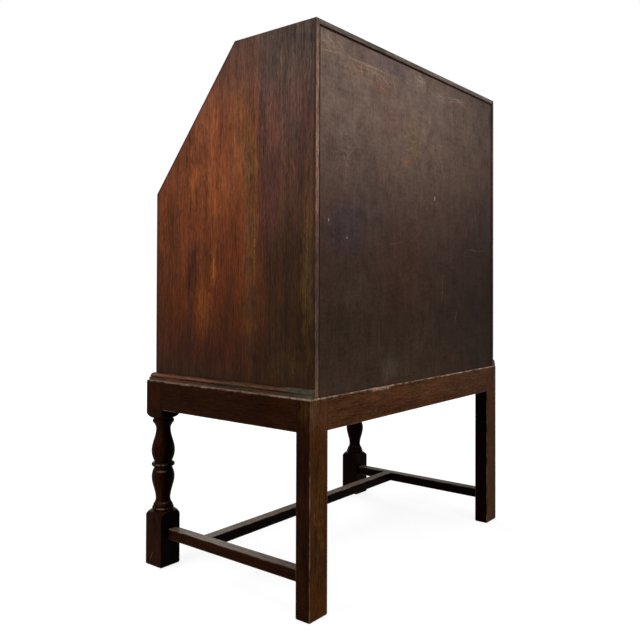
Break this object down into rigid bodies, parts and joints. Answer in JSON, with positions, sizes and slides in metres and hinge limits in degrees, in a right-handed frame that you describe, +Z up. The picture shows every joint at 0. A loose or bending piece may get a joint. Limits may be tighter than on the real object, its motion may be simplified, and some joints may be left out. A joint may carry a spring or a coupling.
{
  "type": "slant-front desk",
  "caption": "Slant-front oak desk on a stand with turned front legs, with a fall, drawers and pigeonholes inside.",
  "frame": {"origin": "On the floor under the middle of the desk's plan.", "axes": "+Z up; the front, where the fall and drawers open, faces -Y; +X is the right side as seen from the front."},
  "size_m": [0.71, 0.43, 1.015],
  "materials": {
    "oak_case": "warm brown stained oak, thin satin polish",
    "oak_stand": "dark stained oak, satin polish, worn on the edges",
    "oak_inside": "plain unpolished oak",
    "plywood": "brown stained plywood, matt",
    "old_brass": "cast and sheet brass, dulled",
    "steel": "plain steel, dull"
  },
  "bodies": {
    "desk": {"front_leg_left": "oak_stand", "front_leg_right": "oak_stand", "rear_leg_left": "oak_stand", "rear_leg_right": "oak_stand", "stand_front_rail": "oak_stand", "stand_back_rail": "oak_stand", "stand_side_rail_left": "oak_stand", "stand_side_rail_right": "oak_stand", "side_stretcher_left": "oak_stand", "side_stretcher_right": "oak_stand", "cross_stretcher": "oak_stand", "stand_moulding": "oak_stand", "corner_blocks": "oak_inside", "case_screws": "steel", "case_side_left": "oak_case", "case_side_right": "oak_case", "case_top": "oak_case", "case_bottom": "oak_inside", "back_panel": "plywood", "writing_board": "oak_case", "loper_partitions": "oak_case", "upper_drawer_rail": "oak_case", "lower_drawer_rail": "oak_case", "drawer_runners": "oak_inside", "case_hinge_leaves": "old_brass", "hinge_pins": "steel", "fitment_shelf": "oak_case", "fitment_uprights": "oak_case"},
    "fall": {"fall_board": "oak_case", "fall_cleats": "oak_case", "fall_hinge_leaves": "old_brass", "fall_lock": "old_brass", "escutcheon": "old_brass"},
    "bolt": {"lock_bolt": "steel"},
    "loper_left": {"loper_left": "oak_case", "loper_knob_left": "old_brass"},
    "loper_right": {"loper_right": "oak_case", "loper_knob_right": "old_brass"},
    "top_drawer": {"top_drawer_front": "oak_case", "top_drawer_box": "oak_inside", "top_drawer_bottom": "oak_inside", "top_drawer_plates": "old_brass"},
    "top_bail_left": {"top_drawer_bail_left": "old_brass"},
    "top_bail_right": {"top_drawer_bail_right": "old_brass"},
    "middle_drawer": {"middle_drawer_front": "oak_case", "middle_drawer_box": "oak_inside", "middle_drawer_bottom": "oak_inside", "middle_drawer_plates": "old_brass"},
    "middle_bail_left": {"middle_drawer_bail_left": "old_brass"},
    "middle_bail_right": {"middle_drawer_bail_right": "old_brass"},
    "bottom_drawer": {"bottom_drawer_front": "oak_case", "bottom_drawer_box": "oak_inside", "bottom_drawer_bottom": "oak_inside", "bottom_drawer_plates": "old_brass"},
    "bottom_bail_left": {"bottom_drawer_bail_left": "old_brass"},
    "bottom_bail_right": {"bottom_drawer_bail_right": "old_brass"},
    "small_drawer": {"small_drawer_front": "oak_case", "small_drawer_box": "oak_inside", "small_drawer_bottom": "oak_inside", "small_drawer_knob": "old_brass"}
  },
  "joints": [
    {"name": "fall_hinge", "type": "hinge", "parent": "desk", "child": "fall", "pos_m": [0, -0.198, 0.72466], "axis": [1, 0, 0], "range_deg": [0, 129.74]},
    {"name": "lock_bolt_slide", "type": "slide", "parent": "fall", "child": "bolt", "axis": [0, 0.6393, 0.7689], "range_m": [0, 0.006]},
    {"name": "loper_left_slide", "type": "slide", "parent": "desk", "child": "loper_left", "axis": [0, -1, 0], "range_m": [0, 0.24]},
    {"name": "loper_right_slide", "type": "slide", "parent": "desk", "child": "loper_right", "axis": [0, -1, 0], "range_m": [0, 0.24]},
    {"name": "top_drawer_slide", "type": "slide", "parent": "desk", "child": "top_drawer", "axis": [0, -1, 0], "range_m": [0, 0.3]},
    {"name": "top_bail_left_hinge", "type": "hinge", "parent": "top_drawer", "child": "top_bail_left", "pos_m": [-0.19, -0.2105, 0.68051], "axis": [-1, 0, 0], "range_deg": [-7, 90]},
    {"name": "top_bail_right_hinge", "type": "hinge", "parent": "top_drawer", "child": "top_bail_right", "pos_m": [0.19, -0.2105, 0.68051], "axis": [-1, 0, 0], "range_deg": [-7, 90]},
    {"name": "middle_drawer_slide", "type": "slide", "parent": "desk", "child": "middle_drawer", "axis": [0, -1, 0], "range_m": [0, 0.3]},
    {"name": "middle_bail_left_hinge", "type": "hinge", "parent": "middle_drawer", "child": "middle_bail_left", "pos_m": [-0.19, -0.2105, 0.57771], "axis": [-1, 0, 0], "range_deg": [-7, 90]},
    {"name": "middle_bail_right_hinge", "type": "hinge", "parent": "middle_drawer", "child": "middle_bail_right", "pos_m": [0.19, -0.2105, 0.57771], "axis": [-1, 0, 0], "range_deg": [-7, 90]},
    {"name": "bottom_drawer_slide", "type": "slide", "parent": "desk", "child": "bottom_drawer", "axis": [0, -1, 0], "range_m": [0, 0.3]},
    {"name": "bottom_bail_left_hinge", "type": "hinge", "parent": "bottom_drawer", "child": "bottom_bail_left", "pos_m": [-0.19, -0.2105, 0.45418], "axis": [-1, 0, 0], "range_deg": [-7, 90]},
    {"name": "bottom_bail_right_hinge", "type": "hinge", "parent": "bottom_drawer", "child": "bottom_bail_right", "pos_m": [0.19, -0.2105, 0.45418], "axis": [-1, 0, 0], "range_deg": [-7, 90]},
    {"name": "small_drawer_slide", "type": "slide", "parent": "desk", "child": "small_drawer", "axis": [0, -1, 0], "range_m": [0, 0.12]}
  ]
}
